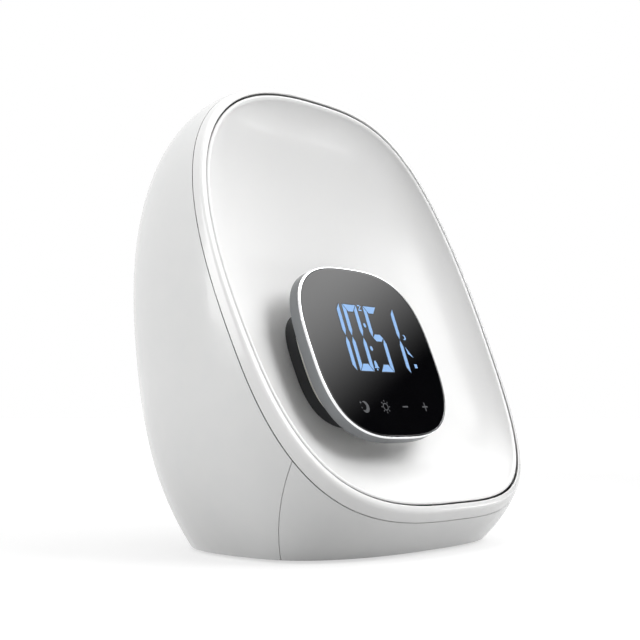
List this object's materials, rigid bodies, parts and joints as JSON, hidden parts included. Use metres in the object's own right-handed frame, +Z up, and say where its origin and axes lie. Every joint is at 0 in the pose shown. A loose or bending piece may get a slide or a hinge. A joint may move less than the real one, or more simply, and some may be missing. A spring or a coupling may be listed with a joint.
{
  "type": "sunrise alarm clock",
  "caption": "Free-standing sunrise alarm clock: egg-shaped white housing with a slanted concave light reflector and a floating round-cornered display pod.",
  "frame": {"origin": "on the resting plane under the middle of the clock", "axes": "+Z up, -Y out of the face towards the user, +X to the right of someone looking at the face"},
  "size_m": [0.1681, 0.1244, 0.1815],
  "materials": {
    "white_shell": "gloss",
    "white_ring": "gloss",
    "white_dish": "gloss",
    "satin_aluminium": "satin",
    "black_glass": "gloss",
    "display_glass": "gloss",
    "light_guide": "matte",
    "circuit_board": "satin",
    "dark_plastic": "matte",
    "screw_steel": "satin",
    "diffuser_plastic": "matte",
    "led_board_white": "satin",
    "led_lens": "gloss",
    "bare_aluminium": "satin",
    "base_plastic": "matte",
    "foot_rubber": "matte",
    "cell_steel": "satin",
    "chip_plastic": "matte",
    "speaker_steel": "satin",
    "cone_paper": "matte",
    "magnet_ferrite": "matte",
    "button_plastic": "gloss"
  },
  "bodies": {
    "clock": {"rear_housing": "white_shell", "front_housing": "white_shell", "bezel_ring": "white_ring", "reflector_dish": "white_dish", "neck_screws": "screw_steel", "pod_bezel": "satin_aluminium", "pod_glass": "black_glass", "lcd_panel": "display_glass", "lcd_backlight": "light_guide", "display_board": "circuit_board", "pod_rear_cup": "dark_plastic", "pod_screws": "screw_steel", "light_diffuser": "diffuser_plastic", "led_board": "led_board_white", "led_emitters": "led_lens", "pod_neck": "dark_plastic", "heat_sink": "bare_aluminium", "base_plate": "base_plastic", "rubber_feet": "foot_rubber", "base_screws": "screw_steel", "board_screws": "screw_steel", "coin_cell": "cell_steel", "cell_holder": "dark_plastic", "main_board": "circuit_board", "board_chips": "chip_plastic", "dc_jack": "dark_plastic", "speaker_frame": "speaker_steel", "speaker_cone": "cone_paper", "speaker_magnet": "magnet_ferrite", "button_board": "circuit_board", "button_switches": "chip_plastic"},
    "battery_door": {"battery_door": "base_plastic"},
    "alarm_button": {"alarm_button": "button_plastic"},
    "time_button": {"time_button": "button_plastic"},
    "sound_button": {"sound_button": "button_plastic"},
    "volume_up_button": {"volume_up_button": "button_plastic"},
    "volume_down_button": {"volume_down_button": "button_plastic"}
  },
  "joints": [
    {"name": "battery_door_turn", "type": "hinge", "parent": "clock", "child": "battery_door", "pos_m": [0, 0.002, 0.0025], "axis": [0, 0, 1], "range_deg": [0, 90]},
    {"name": "alarm_button_press", "type": "slide", "parent": "clock", "child": "alarm_button", "axis": [0, -1, 0], "range_m": [0, 0.0008], "stiffness_N_per_m": 600, "springref_m": -0.0008},
    {"name": "time_button_press", "type": "slide", "parent": "clock", "child": "time_button", "axis": [0, -1, 0], "range_m": [0, 0.0008], "stiffness_N_per_m": 600, "springref_m": -0.0008},
    {"name": "sound_button_press", "type": "slide", "parent": "clock", "child": "sound_button", "axis": [0, -1, 0], "range_m": [0, 0.0008], "stiffness_N_per_m": 600, "springref_m": -0.0008},
    {"name": "volume_up_button_press", "type": "slide", "parent": "clock", "child": "volume_up_button", "axis": [0, -1, 0], "range_m": [0, 0.0008], "stiffness_N_per_m": 600, "springref_m": -0.0008},
    {"name": "volume_down_button_press", "type": "slide", "parent": "clock", "child": "volume_down_button", "axis": [0, -1, 0], "range_m": [0, 0.0008], "stiffness_N_per_m": 600, "springref_m": -0.0008}
  ]
}
